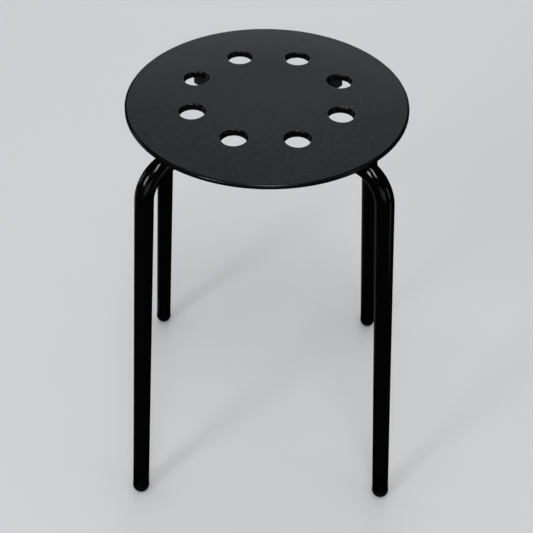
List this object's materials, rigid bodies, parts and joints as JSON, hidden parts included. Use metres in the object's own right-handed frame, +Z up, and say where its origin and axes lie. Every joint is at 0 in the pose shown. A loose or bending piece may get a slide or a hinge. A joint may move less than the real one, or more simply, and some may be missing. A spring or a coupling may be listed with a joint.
{
  "type": "stacking stool",
  "caption": "Round stacking stool: a thin plastic disc seat with a ring of round finger holes, on four bent steel tube legs with domed foot caps.",
  "frame": {"origin": "on the floor, under the middle of the seat", "axes": "+Z up along the seat's axis; the front of the stool, nearest the camera in the picture, faces -Y; +X to the viewer's right"},
  "size_m": [0.309, 0.309, 0.47],
  "materials": {
    "seat_plastic": "matte, finely grained, charcoal",
    "tube": "gloss black powder coat",
    "cap_plastic": "smooth, black",
    "fastener": "zinc plated",
    "insert": "turned"
  },
  "bodies": {
    "root": {"seat": "seat_plastic", "leg_rear_right": "tube", "foot_cap_rear_right": "cap_plastic", "screw_rear_right": "fastener", "washer_rear_right": "fastener", "insert_rear_right": "insert", "leg_rear_left": "tube", "foot_cap_rear_left": "cap_plastic", "screw_rear_left": "fastener", "washer_rear_left": "fastener", "insert_rear_left": "insert", "leg_front_left": "tube", "foot_cap_front_left": "cap_plastic", "screw_front_left": "fastener", "washer_front_left": "fastener", "insert_front_left": "insert", "leg_front_right": "tube", "foot_cap_front_right": "cap_plastic", "screw_front_right": "fastener", "washer_front_right": "fastener", "insert_front_right": "insert"}
  },
  "joints": []
}
